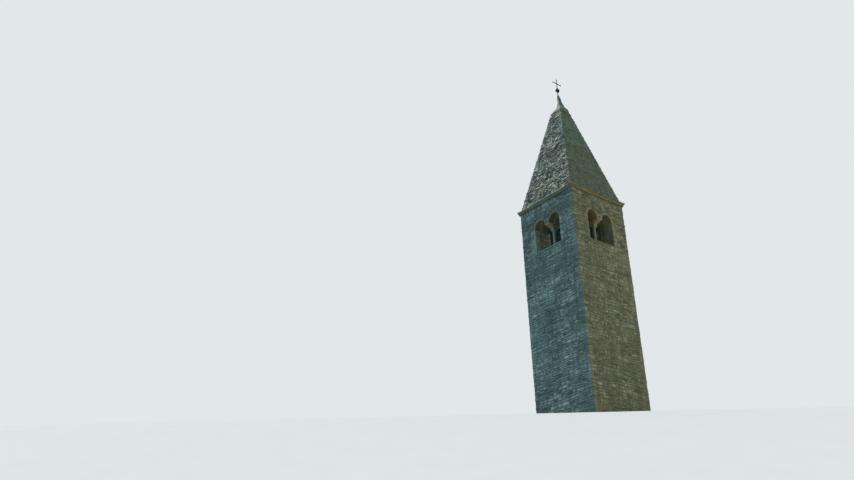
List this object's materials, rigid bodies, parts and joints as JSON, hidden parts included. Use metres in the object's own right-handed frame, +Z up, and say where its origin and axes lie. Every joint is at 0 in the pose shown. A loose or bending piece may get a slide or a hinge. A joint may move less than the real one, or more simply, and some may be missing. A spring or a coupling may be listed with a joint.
{
  "type": "stone bell tower",
  "caption": "Slender square stone bell tower with a twin arched window on each side of its belfry, a thin eave, a hollow stone spire and an iron cross.",
  "frame": {"origin": "centre of the base at ground level", "axes": "+Z up, -Y towards the front wall, -X towards the left wall, with the arms of the cross along X"},
  "size_m": [4.7, 4.7, 23.7907],
  "materials": {
    "rubble_wall": "matte",
    "dressed_stone": "matte",
    "cornice_brick": "matte",
    "slab_stone": "matte",
    "lime_mortar": "matte",
    "floor_timber": "matte",
    "sleeve_metal": "satin",
    "wrought_iron": "matte"
  },
  "bodies": {
    "root": {"base_slab": "rubble_wall", "shaft_front_wall": "rubble_wall", "shaft_right_wall": "rubble_wall", "shaft_back_wall": "rubble_wall", "shaft_left_wall": "rubble_wall", "belfry_front_left_pier": "rubble_wall", "belfry_front_right_pier": "rubble_wall", "belfry_back_left_pier": "rubble_wall", "belfry_back_right_pier": "rubble_wall", "belfry_front_arch_wall": "rubble_wall", "belfry_right_arch_wall": "rubble_wall", "belfry_back_arch_wall": "rubble_wall", "belfry_left_arch_wall": "rubble_wall", "front_window_impost": "dressed_stone", "front_window_capital": "dressed_stone", "front_window_column": "dressed_stone", "right_window_impost": "dressed_stone", "right_window_capital": "dressed_stone", "right_window_column": "dressed_stone", "back_window_impost": "dressed_stone", "back_window_capital": "dressed_stone", "back_window_column": "dressed_stone", "left_window_impost": "dressed_stone", "left_window_capital": "dressed_stone", "left_window_column": "dressed_stone", "front_cornice_course": "cornice_brick", "right_cornice_course": "cornice_brick", "back_cornice_course": "cornice_brick", "left_cornice_course": "cornice_brick", "front_eave_slabs": "slab_stone", "right_eave_slabs": "slab_stone", "back_eave_slabs": "slab_stone", "left_eave_slabs": "slab_stone", "spire_front_face": "slab_stone", "spire_right_face": "slab_stone", "spire_back_face": "slab_stone", "spire_left_face": "slab_stone", "spire_cap_block": "slab_stone", "mortar_cone": "lime_mortar", "belfry_floor_beams": "floor_timber", "belfry_floor_deck": "floor_timber", "finial_sleeve": "sleeve_metal", "finial_rod": "wrought_iron", "finial_ball": "wrought_iron", "cross": "wrought_iron"}
  },
  "joints": []
}
